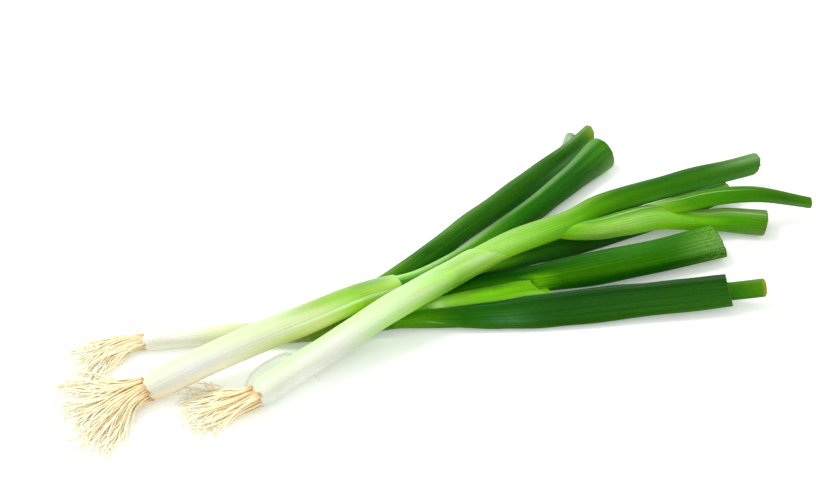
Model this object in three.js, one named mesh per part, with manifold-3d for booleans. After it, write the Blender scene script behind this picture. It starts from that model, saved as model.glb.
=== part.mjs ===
// A bunch of three loose spring onions, lying crossed on a flat surface.
// Millimetres, +Z up. +X runs from the roots to the cut leaf ends, and the surface is at Z = 0.
// The origin is under the middle of the bunch.

import * as THREE from 'three';
import { mergeVertices } from 'three/addons/utils/BufferGeometryUtils.js';
import Module from 'manifold-3d';

const wasm = await Module();
wasm.setup();

// Driving dimensions
const STEM_WIDTH = 13;        // white stem of the two thick onions
const THIN_STEM_WIDTH = 9.2;  // white stem of the back onion
const LEAF_WIDTH = 13;        // an ordinary flattened leaf
const BROAD_LEAF_WIDTH = 16;  // the broad outer leaf of the back onion
const GAP = 0.35;             // clearance where two pieces touch
const CUT_DEPTH = 9;          // how deep a cut leaf end is open
const WALL_SHARE = 0.2;       // wall of a leaf at its cut, as a share of its half thickness
const STATION_SPACING = 8.5;  // distance between two sections of a stem or leaf
const STEM_SIDES = 14;
const LEAF_SIDES = 12;
const END_SHARE = 0.15;       // the last share of a leaf, over which a slanted cut fades out

// Roots
const PLATE_THICKNESS = 3.5;  // basal plate
const PLATE_SHARES = [0.8, 0.98];  // its width at the rear and at the stem, as a share of the stem's
const ROOTED_SHARE = 0.65;    // the share of the plate's radius that carries roots
const ROOT_WIDTH = 1.5;       // a root where it leaves the plate
const ROOT_TIP_WIDTH = 0.95;
const ROOT_SIDES = 3;
const ROOT_STEPS = 4;
const STRAY_STEPS = 12;
const ROOT_SEED = 11;
const ROOT_LAYERS = 3;        // roots lie on each other in this many layers
const LAYER_HEIGHT = 1.7;
const ROOT_WAVE = 0.25;       // largest sideways wave of a root's heading, in radians
const SUNK_SHARE = 0.85;      // a root has sunk to its layer at this share of its length

// Colours
const ROOT_COLOUR = 0xe2cf9f;
const STEM_COLOUR = 0xeaf0dc;
const PALE_GREEN = 0xa9cf6a;
const BRIGHT_GREEN = 0x5fa41c;
const LEAF_GREEN = 0x2f7a14;
const DARK_GREEN = 0x1c5a1c;

// Each stem or leaf is described by its route, the centre line from its root end to its cut end.
// Its widths and thicknesses are spaced evenly along the route, as shares of one driving width.
// roll turns a flat leaf about its route, in degrees: its near edge goes down.
// slant is how far the cut end reaches ahead on the near edge, and lean the same on the upper face.
const STALKS = [
  {
    name: 'front_upper_leaf',
    colour: BRIGHT_GREEN,
    route: [
      [12.5, -9.5, 19.2],
      [38, -4.5, 18.8],
      [57, -3, 18.2],
      [73, -1.5, 17.9],
      [89, 2, 17.5],
      [130, 2.5, 15.8],
      [171.8, 3.5, 11.6],
    ],
    size: LEAF_WIDTH,
    width: [0.83, 0.84, 0.9, 0.86, 0.83, 0.86, 0.88, 0.8, 0.8],
    thickness: [0.83, 0.84, 0.88, 0.8, 0.73, 0.7, 0.68, 0.6, 0.68],
    roll: 20,
    slant: -1,
    lean: 2,
    cut: true,
  },
  {
    name: 'front_inner_leaf',
    colour: LEAF_GREEN,
    route: [
      [100, -5.5, 12],
      [116, -7.5, 13.6],
      [125, -11, 16.2],
      [134, -12.5, 17],
      [146, -15, 17],
      [161.5, -19.5, 15.5],
      [185.4, -27.2, 7.7],
    ],
    size: LEAF_WIDTH,
    width: [0.56, 0.63, 0.68, 0.66, 0.57, 0.46],
    thickness: [0.46, 0.41, 0.38, 0.34, 0.3, 0.28],
    roll: 15,
    slant: 0,
    lean: 0,
  },
  {
    name: 'front_middle_leaf',
    colour: PALE_GREEN,
    route: [
      [58, -4, 17.6],
      [70, -6.5, 16.4],
      [84, -8, 14],
      [97, -8, 12.4],
      [114.5, -9, 10.5],
      [132.5, -16.5, 7.6],
      [145, -20, 6],
      [160, -28.5, 5.6],
    ],
    size: LEAF_WIDTH,
    width: [0.5, 0.68, 0.83, 0.96, 0.95, 0.81, 0.93, 0.97],
    thickness: [0.5, 0.66, 0.79, 0.89, 0.83, 0.69, 0.79, 0.85],
    roll: 12,
    slant: 0,
    lean: 1,
    cut: true,
  },
  {
    name: 'front_outer_leaf',
    colour: DARK_GREEN,
    route: [
      [20.5, -7, 14.2],
      [30.5, -5, 11],
      [42, -3.5, 7.6],
      [56, -2, 5.4],
      [80, -2.5, 4.3],
      [110, -2.5, 4.3],
      [155.5, -2, 5],
    ],
    size: LEAF_WIDTH,
    width: [0.62, 0.8, 1, 1.06, 1.06, 1.02, 0.9, 0.74],
    thickness: [0.52, 0.62, 0.68, 0.68, 0.68, 0.66, 0.64, 0.62],
    roll: 10,
    slant: 0,
    lean: 0,
    cut: true,
  },
  {
    name: 'front_shank',
    colour: STEM_COLOUR,
    sides: STEM_SIDES,
    route: [
      [-96.5, -33, 6.2],
      [-74.5, -27.5, 9],
      [-52, -23, 12.8],
      [-21.5, -17, 17.6],
      [0.5, -13, 19.2],
      [27.5, -6.5, 19.2],
    ],
    size: STEM_WIDTH,
    width: [1, 0.97, 0.96, 0.96, 0.95, 0.87],
    thickness: [1, 0.97, 0.96, 0.96, 0.95, 0.87],
    roll: 0,
    slant: 5.5,
    lean: -5.5,
  },
  {
    name: 'middle_inner_leaf',
    colour: BRIGHT_GREEN,
    route: [
      [-25, -2, 12.8],
      [-4.5, -1.5, 9.8],
      [23.5, 5.5, 8.6],
      [45.5, 14.5, 7.2],
      [75, 27, 6.2],
      [112.4, 44.2, 6.4],
    ],
    size: LEAF_WIDTH,
    width: [0.8, 0.82, 0.82, 0.84, 0.88, 0.96, 1.24],
    thickness: [0.78, 0.78, 0.74, 0.7, 0.67, 0.69, 0.82],
    roll: 28,
    slant: -1,
    lean: 2,
    cut: true,
  },
  {
    name: 'middle_outer_leaf',
    colour: DARK_GREEN,
    route: [
      [-29.5, -0.5, 12],
      [-11, 7, 7.8],
      [10, 16.2, 6],
      [32, 25.8, 5.2],
      [56, 35.2, 4.8],
      [95, 51.5, 4.6],
      [114.2, 61.3, 5],
    ],
    size: LEAF_WIDTH,
    width: [0.58, 0.8, 0.82, 0.88, 0.9, 0.78, 0.54],
    thickness: [0.48, 0.6, 0.58, 0.64, 0.66, 0.62, 0.5],
    roll: 20,
    slant: -1,
    lean: 1,
    cut: true,
  },
  {
    name: 'middle_back_leaf',
    colour: DARK_GREEN,
    route: [[93.5, 54, 3], [100, 58.2, 3.2], [105.8, 63.8, 3.4]],
    size: LEAF_WIDTH,
    width: [0.3, 0.36, 0.42],
    thickness: [0.3, 0.36, 0.42],
    roll: 0,
    slant: 0,
    lean: 0,
    cut: true,
  },
  {
    name: 'middle_shank',
    colour: STEM_COLOUR,
    sides: STEM_SIDES,
    route: [
      [-138.5, -10, 6.2],
      [-112, -10, 12.3],
      [-81.5, -9.5, 16.3],
      [-57.5, -8, 16.9],
      [-31.5, -3, 13.8],
      [-15.2, -1.1, 10.9],
    ],
    size: STEM_WIDTH,
    width: [1.04, 1.05, 1.06, 1.05, 0.97, 0.86],
    thickness: [1.04, 1.05, 1.06, 1.05, 0.97, 0.86],
    roll: 0,
    slant: 0.5,
    lean: -1.2,
  },
  {
    name: 'back_inner_leaf',
    colour: LEAF_GREEN,
    route: [[84, -50.5, 6.8], [109, -58.5, 8], [121.5, -63, 8.6], [136.5, -67.5, 9]],
    size: LEAF_WIDTH,
    width: [0.58, 0.62, 0.64, 0.66],
    thickness: [0.34, 0.38, 0.42, 0.48],
    roll: 30,
    slant: 0,
    lean: 0.5,
    cut: true,
  },
  {
    name: 'back_sheath',
    colour: BRIGHT_GREEN,
    route: [
      [-22, -15, 5],
      [-8, -14.5, 7.2],
      [4, -17.6, 9],
      [13.5, -20.2, 9.6],
      [25.5, -22.9, 9.9],
      [36, -24.6, 9.8],
      [44.5, -27.3, 9.3],
    ],
    size: LEAF_WIDTH,
    width: [0.52, 0.48, 0.5, 0.55, 0.59, 0.61, 0.56],
    thickness: [0.45, 0.44, 0.42, 0.44, 0.46, 0.45, 0.4],
    roll: 20,
    slant: 3.7,
    lean: -3.7,
  },
  {
    name: 'back_second_leaf',
    colour: LEAF_GREEN,
    route: [
      [1.2, -11.2, 7.4],
      [15.3, -13.4, 7.9],
      [40, -18.8, 8],
      [75.7, -25.1, 7.8],
      [104.2, -29.1, 7.6],
      [133.2, -32.2, 7.8],
    ],
    size: LEAF_WIDTH,
    width: [0.72, 0.94, 0.99, 1.19, 1.22, 1.23, 1.23],
    thickness: [0.6, 0.72, 0.69, 0.73, 0.7, 0.68, 0.74],
    roll: 25,
    slant: 1.2,
    lean: -0.35,
    cut: true,
  },
  {
    name: 'back_outer_leaf',
    colour: DARK_GREEN,
    route: [
      [-23.5, -14.5, 4.7],
      [-9.5, -18.8, 4.6],
      [3.2, -23.8, 4.7],
      [21.8, -30.8, 4.8],
      [32.3, -34.3, 5],
      [65, -44.5, 6.2],
      [121.5, -62, 8.2],
    ],
    size: BROAD_LEAF_WIDTH,
    width: [0.45, 0.57, 0.77, 0.95, 1.03, 1, 0.97, 0.96],
    thickness: [0.43, 0.46, 0.46, 0.45, 0.44, 0.43, 0.45, 0.48],
    roll: 26,
    slant: 0.4,
    lean: -0.5,
    cut: true,
  },
  {
    name: 'back_shank',
    colour: STEM_COLOUR,
    route: [
      [-130, 19.5, 4.1],
      [-99, 10, 4.3],
      [-57, -5.5, 4.6],
      [-23, -13.5, 4.7],
      [-9, -18.5, 4.5],
    ],
    size: THIN_STEM_WIDTH,
    width: [0.9, 0.96, 1.08, 1.09, 1.03, 0.95],
    thickness: [0.9, 0.96, 1.06, 1.07, 1, 0.9],
    roll: 0,
    slant: 0,
    lean: -4,
  },
];

// Each tuft of roots fans out on the surface round a heading, in degrees from +X towards +Y.
const TUFTS = [
  { name: 'front_roots', stem: 'front_shank', count: 18, heading: 163, fan: 62, reach: [22, 37] },
  { name: 'middle_roots', stem: 'middle_shank', count: 24, heading: 176, fan: 84, reach: [29, 48] },
  { name: 'back_roots', stem: 'back_shank', count: 12, heading: 176, fan: 48, reach: [24, 37] },
];

// A single root of the front onion that lies on the surface and runs back under its own stem
const STRAY_ROOT = [
  [-100, -31.5, 4],
  [-98.5, -24, 1.2],
  [-92.5, -16, 0.8],
  [-82, -11, 0.8],
  [-73.5, -10, 0.8],
  [-69.5, -15, 0.8],
  [-66, -32, 0.8],
];

// A repeatable random number from 0 to 1 (the mulberry32 generator)
function makeRandom(seed) {
  let state = seed;
  return () => {
    state = (state + 0x6d2b79f5) | 0;
    let mixed = Math.imul(state ^ (state >>> 15), 1 | state);
    mixed = (mixed + Math.imul(mixed ^ (mixed >>> 7), 61 | mixed)) ^ mixed;
    return ((mixed ^ (mixed >>> 14)) >>> 0) / 4294967296;
  };
}

// Smooth value of an evenly spaced list, at share t of its length
function valueAt(list, t) {
  const points = list.map((value, i) => new THREE.Vector2(i, value));
  return new THREE.SplineCurve(points).getPoint(t).y;
}

function routeCurve(route) {
  const points = route.map((point) => new THREE.Vector3(...point));
  return new THREE.CatmullRomCurve3(points, false, 'centripetal');
}

// The point of a route at share t, with its direction, the level direction across it (near side
// first) and the upward direction, all turned by the roll
function stationAt(curve, t, roll) {
  const along = curve.getTangentAt(t);
  const across = new THREE.Vector3().crossVectors(along, new THREE.Vector3(0, 0, 1)).normalize();
  const above = new THREE.Vector3().crossVectors(across, along);
  const angle = THREE.MathUtils.degToRad(roll);
  across.applyAxisAngle(along, angle);
  above.applyAxisAngle(along, angle);
  return { point: curve.getPointAt(t), along, across, above };
}

// Unit outline of a stalk, radius against height, both from 0 to 1. A cut end is open like a cup.
function stalkOutline(steps, openShare) {
  const outline = [new THREE.Vector2(0, 0)];
  for (let i = 0; i <= steps; i += 1) outline.push(new THREE.Vector2(1, i / steps));
  if (openShare > 0) {
    outline.push(new THREE.Vector2(1 - WALL_SHARE, 1));
    outline.push(new THREE.Vector2(1 - WALL_SHARE, 1 - openShare));
  }
  outline.push(new THREE.Vector2(0, 1 - openShare));
  return outline;
}

// Bends a unit lathe form along a stalk's route. Its height follows the route, its x spreads over
// the width and its z over the thickness. grow makes it larger all round, and nothing goes below
// the surface, which leaves a flat strip where it lies.
function bendStalk(form, stalk, grow) {
  const curve = routeCurve(stalk.route);
  const positions = form.getAttribute('position');
  for (let i = 0; i < positions.count; i += 1) {
    const t = THREE.MathUtils.clamp(positions.getY(i), 0, 1);
    const x = positions.getX(i);
    const z = positions.getZ(i);
    const { point, along, across, above } = stationAt(curve, t, stalk.roll);
    const halfWidth = (stalk.size * valueAt(stalk.width, t)) / 2 + grow;
    const halfThickness = (stalk.size * valueAt(stalk.thickness, t)) / 2 + grow;
    const fade = Math.max(0, (t - 1) / END_SHARE + 1);
    const tilt = stalk.slant * x * (halfWidth / (halfWidth - grow))
      + stalk.lean * z * (halfThickness / (halfThickness - grow));
    const ahead = tilt * fade + (t === 1 ? grow : 0) - (t === 0 ? grow : 0);
    point.addScaledVector(across, x * halfWidth);
    point.addScaledVector(above, z * halfThickness);
    point.addScaledVector(along, ahead);
    positions.setXYZ(i, point.x, point.y, Math.max(point.z, -grow));
  }
  return form;
}

// Turns a closed geometry into a solid that can be joined and cut. Triangles that closed up at
// the poles are left out.
function toSolid(geometry) {
  geometry.deleteAttribute('normal');
  geometry.deleteAttribute('uv');
  const merged = mergeVertices(geometry, 1e-4);
  const corners = merged.getIndex().array;
  const triangles = [];
  for (let i = 0; i < corners.length; i += 3) {
    const [a, b, c] = corners.slice(i, i + 3);
    if (a !== b && b !== c && c !== a) triangles.push(a, b, c);
  }
  const vertProperties = new Float32Array(merged.getAttribute('position').array);
  const triVerts = new Uint32Array(triangles);
  return new wasm.Manifold(new wasm.Mesh({ numProp: 3, vertProperties, triVerts }));
}

// The largest body of a solid: loose scraps and sealed hollows are dropped
function mainBody(solid) {
  const bodies = solid.decompose();
  return bodies.reduce((best, body) => (body.volume() > best.volume() ? body : best));
}

function stalkSolid(stalk, grow) {
  const length = routeCurve(stalk.route).getLength();
  const steps = Math.max(3, Math.round(length / STATION_SPACING));
  const openShare = stalk.cut && grow === 0 ? CUT_DEPTH / length : 0;
  const sides = stalk.sides ?? LEAF_SIDES;
  const form = new THREE.LatheGeometry(stalkOutline(steps, openShare), sides, Math.PI / sides);
  return toSolid(bendStalk(form, stalk, grow));
}

// One root: a thin three-sided stalk that tapers to its tip
function rootSolid(route, steps, grow) {
  const root = {
    route,
    size: 1,
    width: [ROOT_WIDTH, ROOT_TIP_WIDTH],
    thickness: [ROOT_WIDTH, ROOT_TIP_WIDTH],
    roll: 0,
    slant: 0,
    lean: 0,
  };
  const form = new THREE.LatheGeometry(stalkOutline(steps, 0), ROOT_SIDES);
  return toSolid(bendStalk(form, root, grow));
}

// The route of one random root. It leaves the plate backwards, swings to its own heading in the
// fan, and sinks to the surface or onto the roots below it.
function rootRoute(tuft, plate, order, random) {
  const turn = (order + random()) / tuft.count - 0.5;
  const heading = THREE.MathUtils.degToRad(tuft.heading + tuft.fan * turn);
  const reach = THREE.MathUtils.lerp(tuft.reach[0], tuft.reach[1], random());
  const layer = order % ROOT_LAYERS;
  const restHeight = ROOT_WIDTH / 2 + LAYER_HEIGHT * layer;
  const start = plate.point.clone();
  start.addScaledVector(plate.across, 2 * turn * ROOTED_SHARE * plate.radius);
  start.addScaledVector(plate.above, (2 * layer / (ROOT_LAYERS - 1) - 1) * ROOTED_SHARE * plate.radius);
  const wave = THREE.MathUtils.lerp(-ROOT_WAVE, ROOT_WAVE, random());
  const route = [start.clone().addScaledVector(plate.along, PLATE_THICKNESS / 2).toArray()];
  for (let i = 1; i < ROOT_STEPS; i += 1) {
    const share = i / (ROOT_STEPS - 1);
    const bend = heading + wave * Math.sin(1.5 * Math.PI * share);
    const away = plate.along.clone().multiplyScalar(-1).lerp(
      new THREE.Vector3(Math.cos(bend), Math.sin(bend), 0),
      Math.sqrt(share),
    );
    const x = start.x + away.x * reach * share;
    const y = start.y + away.y * reach * share;
    const z = THREE.MathUtils.lerp(start.z, restHeight, THREE.MathUtils.smoothstep(share, 0, SUNK_SHARE));
    route.push([x, y, z]);
  }
  return route;
}

// The basal plate at the foot of a stem, with its roots sunk into it
function tuftSolid(tuft, random, grow) {
  const stem = STALKS.find((stalk) => stalk.name === tuft.stem);
  const foot = stationAt(routeCurve(stem.route), 0, 0);
  const radius = (stem.size * stem.width[0]) / 2;
  const back = foot.along.clone().multiplyScalar(-1);
  const front = foot.point.clone().addScaledVector(back, GAP);
  const rear = front.clone().addScaledVector(back, PLATE_THICKNESS);
  const plateStalk = {
    route: [rear.toArray(), front.toArray()],
    size: 2 * radius,
    width: PLATE_SHARES,
    thickness: PLATE_SHARES,
    roll: 0,
    slant: 0,
    lean: 0,
  };
  const plateForm = new THREE.LatheGeometry(stalkOutline(1, 0), STEM_SIDES);
  const pieces = [toSolid(bendStalk(plateForm, plateStalk, grow))];
  const plate = { ...foot, point: rear, radius };
  for (let i = 0; i < tuft.count; i += 1) {
    pieces.push(rootSolid(rootRoute(tuft, plate, i, random), ROOT_STEPS, grow));
  }
  if (tuft.name === 'front_roots') pieces.push(rootSolid(STRAY_ROOT, STRAY_STEPS, grow));
  return wasm.Manifold.union(pieces);
}

function boxesTouch(a, b) {
  const first = a.boundingBox();
  const second = b.boundingBox();
  return [0, 1, 2].every((k) => first.min[k] < second.max[k] && second.min[k] < first.max[k]);
}

function toMesh(name, solid, colour) {
  const { vertProperties, triVerts } = solid.getMesh();
  const geometry = new THREE.BufferGeometry();
  geometry.setAttribute('position', new THREE.BufferAttribute(vertProperties, 3));
  geometry.setIndex(new THREE.BufferAttribute(triVerts, 1));
  geometry.computeVertexNormals();
  const material = new THREE.MeshStandardMaterial({ color: colour, roughness: 0.5, metalness: 0 });
  const mesh = new THREE.Mesh(geometry, material);
  mesh.name = name;
  return mesh;
}

// The routes are laid out from a point beside the middle of the bunch.
const MIDDLE = new THREE.Vector3(1.5, -2.8, 0);

// Every piece is cut back from the pieces made before it, so inner leaves keep their whole shape
// and stand in pockets of the sheaths round them.
const group = new THREE.Group();
group.position.copy(MIDDLE).negate();
const placed = [];

function place(name, colour, makeSolid) {
  let solid = makeSolid(0);
  for (const other of placed) {
    if (boxesTouch(solid, other)) solid = solid.subtract(other);
  }
  group.add(toMesh(name, mainBody(solid), colour));
  placed.push(makeSolid(GAP));
}

for (const stalk of STALKS) place(stalk.name, stalk.colour, (grow) => stalkSolid(stalk, grow));
TUFTS.forEach((tuft, i) => {
  place(tuft.name, ROOT_COLOUR, (grow) => tuftSolid(tuft, makeRandom(ROOT_SEED + i), grow));
});

export default group;
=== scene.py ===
"""Three loose spring onions, lying crossed in a bunch: their finished look.

Every stem, leaf and tuft of roots replaces the plain solid of the same name. The centre lines,
widths and thicknesses repeat those of the solids, in millimetres, and become metres in the mesh.
"""

import logging
import math
from dataclasses import dataclass
from enum import Enum

import bpy
import numpy as np
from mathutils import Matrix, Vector


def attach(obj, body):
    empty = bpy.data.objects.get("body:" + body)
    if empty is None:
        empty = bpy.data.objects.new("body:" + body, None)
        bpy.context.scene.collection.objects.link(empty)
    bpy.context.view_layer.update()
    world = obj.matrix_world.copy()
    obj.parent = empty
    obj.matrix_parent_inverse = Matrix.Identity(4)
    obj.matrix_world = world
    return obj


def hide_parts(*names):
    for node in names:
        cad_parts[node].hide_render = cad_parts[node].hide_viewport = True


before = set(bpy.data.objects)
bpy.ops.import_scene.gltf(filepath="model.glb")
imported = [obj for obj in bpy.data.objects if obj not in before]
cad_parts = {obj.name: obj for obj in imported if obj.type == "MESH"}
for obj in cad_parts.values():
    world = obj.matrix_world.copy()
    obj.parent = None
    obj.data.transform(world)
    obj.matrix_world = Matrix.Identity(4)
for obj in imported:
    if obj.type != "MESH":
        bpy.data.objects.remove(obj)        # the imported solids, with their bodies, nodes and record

Array = np.ndarray
Point = tuple[float, float, float]
Shares = tuple[float, ...]
Stops = tuple[tuple[float, str], ...]

log = logging.getLogger("spring_onions")

MM = 0.001                                  # metres in a millimetre
UP = np.array([0.0, 0.0, 1.0])
MIDDLE = np.array([1.5, -2.8, 0.0])         # the frame's origin in the layout of the routes, mm
LEAN_BACK = np.array([-0.29, -0.65, 0.71])  # leans from the bunch to its near side, towards the camera; it sets the painted light and shade across each section
STALK_SIZE = 13.0                           # driving width of most stems and leaves, mm
END_SHARE = 0.15                            # the last share of a stalk, over which a slant fades out
RING_SPACING = 1.0                          # distance between two rings of a surface, mm
RIM_RINGS = 7                               # rings round the wall's edge at an open end
HOLLOW_RINGS = 18                           # rings down the inside of an open end
WAVE_LENGTH = 38.0                          # of the unevenness of a stalk, mm
RIB_WANDER = 90.0                           # length over which ribs wander sideways, mm
RIB_FADE = 25.0                             # length over which they grow and fade, mm
ROOT_RINGS = 22
ROOT_SIDES = 6
ROOTED_SHARE = 0.66                         # the share of the plate's radius that carries roots
SUNK = 1.2                                  # how deep a root starts inside the stem, mm
PILE = 5.5                                  # height of the pile of roots above the surface, mm
BOB = 0.8                                   # how far a root bobs up and down, mm
PLATE_BACK = -1.8                           # the plate's back, ahead of the stem's foot, mm
PLATE_FRONT = 1.6                           # and its front
PLATE_SHAPE = (0.06, 0.42, 0.58, 0.64, 0.62)    # its radius from back to front, in stem radii
PLATE_RINGS = 24
PLATE_SIDES = 64
TAPER_RINGS = 12                            # rings at the stray root's tip, over which it thins
VEINS = 30.0                                # veins round a section
VEIN_DRIFT = 0.045                          # how fast they wander, radians a millimetre
SHIFT_ALONG = 0.06                          # how far bands shift the colours along, as a share
SHIFT_ROUND = 0.14                          # and across, where the section goes from -1 to 1
GRAIN_SCALE = 650.0                         # small blotches, a metre
SKIN_DEPTH = 0.0018                         # how far light spreads under a stem's skin, m
RIB_DEPTH = 0.00015                         # m
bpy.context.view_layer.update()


class Slot(Enum):
    """The record's material slots."""

    ROOT = "root"
    STEM = "stem"
    SHEATH = "sheath"
    PALE_LEAF = "pale_leaf"
    NECK_LEAF = "neck_leaf"
    YOUNG_LEAF = "young_leaf"
    DARK_LEAF = "dark_leaf"


def smoothstep(value: Array, low: float, high: float) -> Array:
    """Rises from 0 at low to 1 at high, level at both ends: 3q squared less 2q cubed."""
    q = np.clip((value - low) / (high - low), 0.0, 1.0)
    return q * q * (3.0 - 2.0 * q)


def cubic(start: Array, end: Array, slope: Array, end_slope: Array, q: Array) -> Array:
    """The cubic from start to end with those slopes at its ends, at q from 0 to 1."""
    third = 2 * start - 2 * end + slope + end_slope
    second = 3 * end - 3 * start - 2 * slope - end_slope
    return third * q**3 + second * q**2 + slope * q + start


def axes(ahead: Array) -> tuple[Array, Array]:
    """The level unit direction across a direction, and the one above both."""
    across = np.cross(ahead, UP)
    across = across / np.maximum(np.linalg.norm(across, axis=-1)[..., None], 1e-9)
    return across, np.cross(across, ahead)


def off_spot(run: Array, length: float, turn: Array, spread: float) -> Array:
    """Squared distance from a spot's middle, in half lengths and half widths: mm and radians."""
    turn = np.angle(np.exp(1j * turn))
    return (run / length) ** 2 + (turn / math.radians(spread)) ** 2


def even_spline(values: Shares, share: Array) -> Array:
    """Smooth value of an evenly spaced list.

    The uniform Catmull-Rom cubic: between two neighbours it takes half the difference of the
    values on either side as the slope, and the end values are repeated.

    Args:
        values: the list, from share 0 to share 1.
        share: where to read it; outside 0 to 1 the end value holds.

    Returns:
        The value at each share.
    """
    listed = np.array(values, float)
    place = np.clip(share, 0.0, 1.0) * (len(listed) - 1)
    i = np.minimum(place.astype(int), len(listed) - 2)
    before = listed[np.maximum(i - 1, 0)]
    here = listed[i]
    ahead = listed[i + 1]
    after = listed[np.minimum(i + 2, len(listed) - 1)]
    return cubic(here, ahead, (ahead - before) / 2, (after - here) / 2, place - i)


def ripple(seed: int, along: Array, angle: Array, wave: float, turns: int) -> Array:
    """Gentle unevenness of a grown surface, mostly between -1 and 1.

    The sum of seven sine waves over the root of seven. Each has a random whole number of turns
    round the section, so that it closes on itself, and a random length near wave along it.

    Args:
        seed: seed of the random draw.
        along: distance along the piece, mm.
        angle: angle round the section, radians.
        wave: middle wavelength along the piece, mm.
        turns: the largest number of turns round the section.

    Returns:
        The unevenness at each point.
    """
    random = np.random.default_rng(seed)
    terms = 7
    total = np.zeros(np.broadcast(along, angle).shape)
    for _ in range(terms):
        count = random.integers(0, turns + 1)
        length = wave * random.uniform(0.6, 1.7)
        phase = random.uniform(0, 2 * np.pi)
        total = total + np.sin(count * angle + 2 * np.pi * along / length + phase)
    return total / math.sqrt(terms)


@dataclass(frozen=True)
class Route:
    """A smooth centre line through chosen points, in millimetres."""

    points: tuple[Point, ...]

    def line(self, steps: int = 60) -> tuple[Array, Array]:
        """Close points along the line and their distances from its start.

        Each stretch between two chosen points is the centripetal Catmull-Rom cubic, whose end
        slopes weigh the neighbouring points by the square roots of the distances between them.
        Past the first and last points, the neighbour is mirrored.

        Args:
            steps: number of close points in each stretch.

        Returns:
            The points, (n, 3), in the frame, and the distances, (n,), both in mm.
        """
        given = np.array(self.points) - MIDDLE
        p = np.vstack([2 * given[0] - given[1], given, 2 * given[-1] - given[-2]])
        gap = np.sqrt(np.linalg.norm(np.diff(p, axis=0), axis=1))[:, None]
        rate = np.diff(p, axis=0) / gap
        over = (p[2:] - p[:-2]) / (gap[1:] + gap[:-1])
        slope = rate[:-1] - over + rate[1:]
        start_slope = (slope[:-1] * gap[1:-1])[:, None, :]
        end_slope = (slope[1:] * gap[1:-1])[:, None, :]
        q = (np.arange(steps) / steps)[None, :, None]
        points = cubic(p[1:-2][:, None, :], p[2:-1][:, None, :], start_slope, end_slope, q)
        points = np.vstack([points.reshape(-1, 3), p[-2]])
        distance = np.concatenate([[0.0], np.cumsum(np.linalg.norm(np.diff(points, axis=0), axis=1))])
        return points, distance

    def length(self) -> float:
        """Length of the line, mm."""
        return float(self.line()[1][-1])

    def at(self, along: Array) -> tuple[Array, Array]:
        """Point and unit direction at distances along the line, which runs on straight past its ends.

        Args:
            along: distances from the start, mm, of any shape.

        Returns:
            The points and the directions, each of that shape with a last axis of 3.
        """
        points, distance = self.line()
        slope = np.gradient(points, distance, axis=0)
        slope /= np.linalg.norm(slope, axis=1)[:, None]
        held = np.clip(along, 0.0, distance[-1])
        place = np.stack([np.interp(held, distance, points[:, k]) for k in range(3)], -1)
        ahead = np.stack([np.interp(held, distance, slope[:, k]) for k in range(3)], -1)
        ahead /= np.linalg.norm(ahead, axis=-1)[..., None]
        return place + ahead * (along - held)[..., None], ahead


@dataclass(frozen=True)
class Dent:
    """A dent in a surface, or a swelling where its depth is negative: a bell-shaped hollow."""

    share: float     # where it is along the piece
    angle: float     # where it is round the section, degrees: 0 near side, 90 on top
    length: float    # half its length, mm
    spread: float    # half its width round the section, degrees
    depth: float     # mm


@dataclass(frozen=True)
class Mark:
    """A soft patch of another colour on the skin: a bell-shaped spot, or a flat one with an edge."""

    share: float           # where it is along the piece
    angle: float           # where it is round the section, degrees
    length: float          # half its length, mm
    spread: float          # half its width round the section, degrees
    shade: str
    strength: float = 1.0
    streak: float = 0.0    # how far fibres break it up
    skew: float = 0.0      # how far it turns round the section, degrees a millimetre
    sharp: float = 1.0     # how flat its top and how steep its border is

    def cover(self, share: Array, length: float, angle: Array) -> Array:
        """How far the mark covers each point: e to the minus squared distance to the power sharp."""
        run = (share - self.share) * length
        turn = angle - np.radians(self.angle + self.skew * run)
        return np.exp(-(off_spot(run, self.length, turn, self.spread) ** self.sharp))


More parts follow.
